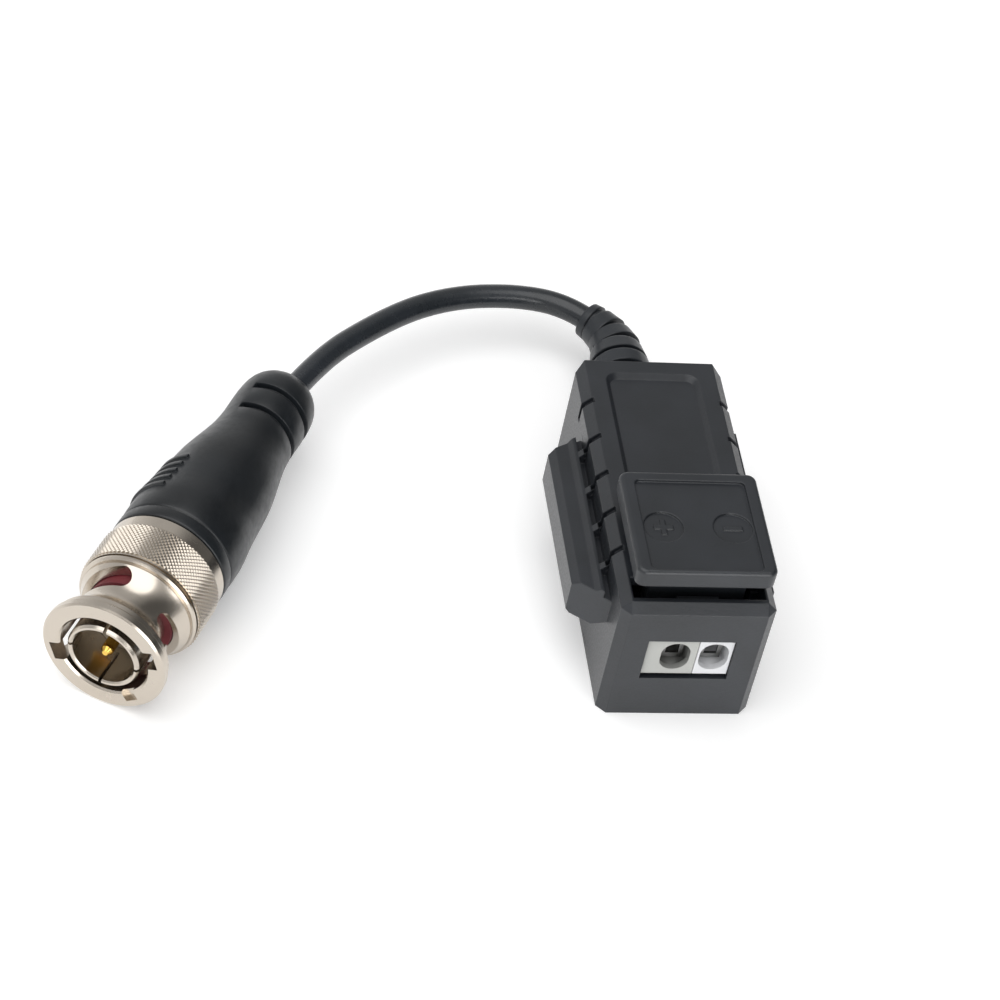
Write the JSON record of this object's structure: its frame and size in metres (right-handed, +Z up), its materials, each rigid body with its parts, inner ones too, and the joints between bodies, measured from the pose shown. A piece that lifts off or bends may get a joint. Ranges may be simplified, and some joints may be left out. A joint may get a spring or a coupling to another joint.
{
  "type": "video balun",
  "caption": "Passive video balun: small black housing with push terminals for one wire pair, a side stacking rail, and a short coax lead with a twist-lock coax plug.",
  "frame": {"origin": "centre of the housing's bottom face", "axes": "+Z up, +Y from the wire terminals towards the lead, +X to the right seen from the terminals"},
  "size_m": [0.0753, 0.0617, 0.0208],
  "materials": {
    "shell_plastic": "fine spark-eroded mould texture, satin black",
    "key_plastic": "satin black moulding",
    "insert_beige": "satin off-white moulding",
    "insert_white": "satin white moulding",
    "steel": "plain spring steel",
    "tinned_copper": "tin plated copper strip",
    "board_laminate": "green solder mask",
    "ferrite": "dull sintered ferrite",
    "copper_wire": "enamelled copper",
    "epoxy_black": "moulded epoxy",
    "ceramic_tan": "fired ceramic",
    "cable_jacket": "extruded satin jacket",
    "soft_black": "satin moulded vinyl",
    "nickel": "bright nickel plate on turned brass",
    "insulator_olive": "dull moulded insulator",
    "gold": "gold flash over brass",
    "gasket_red": "soft red rubber"
  },
  "bodies": {
    "housing": {"housing_shell": "shell_plastic", "bottom_cover": "shell_plastic", "key_pivot_pin": "steel", "terminal_insert_left": "insert_beige", "terminal_insert_right": "insert_white", "contact_left": "tinned_copper", "contact_right": "tinned_copper", "clamp_spring_left": "steel", "clamp_spring_right": "steel", "circuit_board": "board_laminate", "ferrite_core": "ferrite", "winding_left": "copper_wire", "winding_right": "copper_wire", "surge_suppressor": "epoxy_black", "chip_capacitor": "ceramic_tan", "chip_resistor": "epoxy_black", "coax_tail": "cable_jacket", "strain_relief": "soft_black", "cable": "cable_jacket", "plug_boot": "soft_black", "plug_body": "nickel", "plug_insulator": "insulator_olive", "centre_pin": "gold", "plug_gasket": "gasket_red", "wave_washer": "steel", "crimp_ferrule": "nickel"},
    "key": {"press_key": "key_plastic"},
    "sleeve_carrier": {"flat_washer": "nickel", "retaining_ring": "steel"},
    "sleeve": {"coupling_sleeve": "nickel"}
  },
  "joints": [
    {"name": "key_press", "type": "hinge", "parent": "housing", "child": "key", "pos_m": [0, -0.005, 0.0143], "axis": [1, 0, 0], "range_deg": [0, 8.5], "stiffness_Nm_per_rad": 0.12, "springref_deg": -6.88, "deforming": ["clamp_spring_left", "clamp_spring_right"]},
    {"name": "sleeve_slide", "type": "slide", "parent": "housing", "child": "sleeve_carrier", "axis": [-0.4821, -0.8761, 0], "range_m": [0, 0.0009], "stiffness_N_per_m": 1500, "springref_m": -0.001, "deforming": ["wave_washer"]},
    {"name": "sleeve_turn", "type": "hinge", "parent": "sleeve_carrier", "child": "sleeve", "pos_m": [-0.05854, -0.01376, 0.0069], "axis": [-0.4821, -0.8761, 0], "continuous": true}
  ]
}
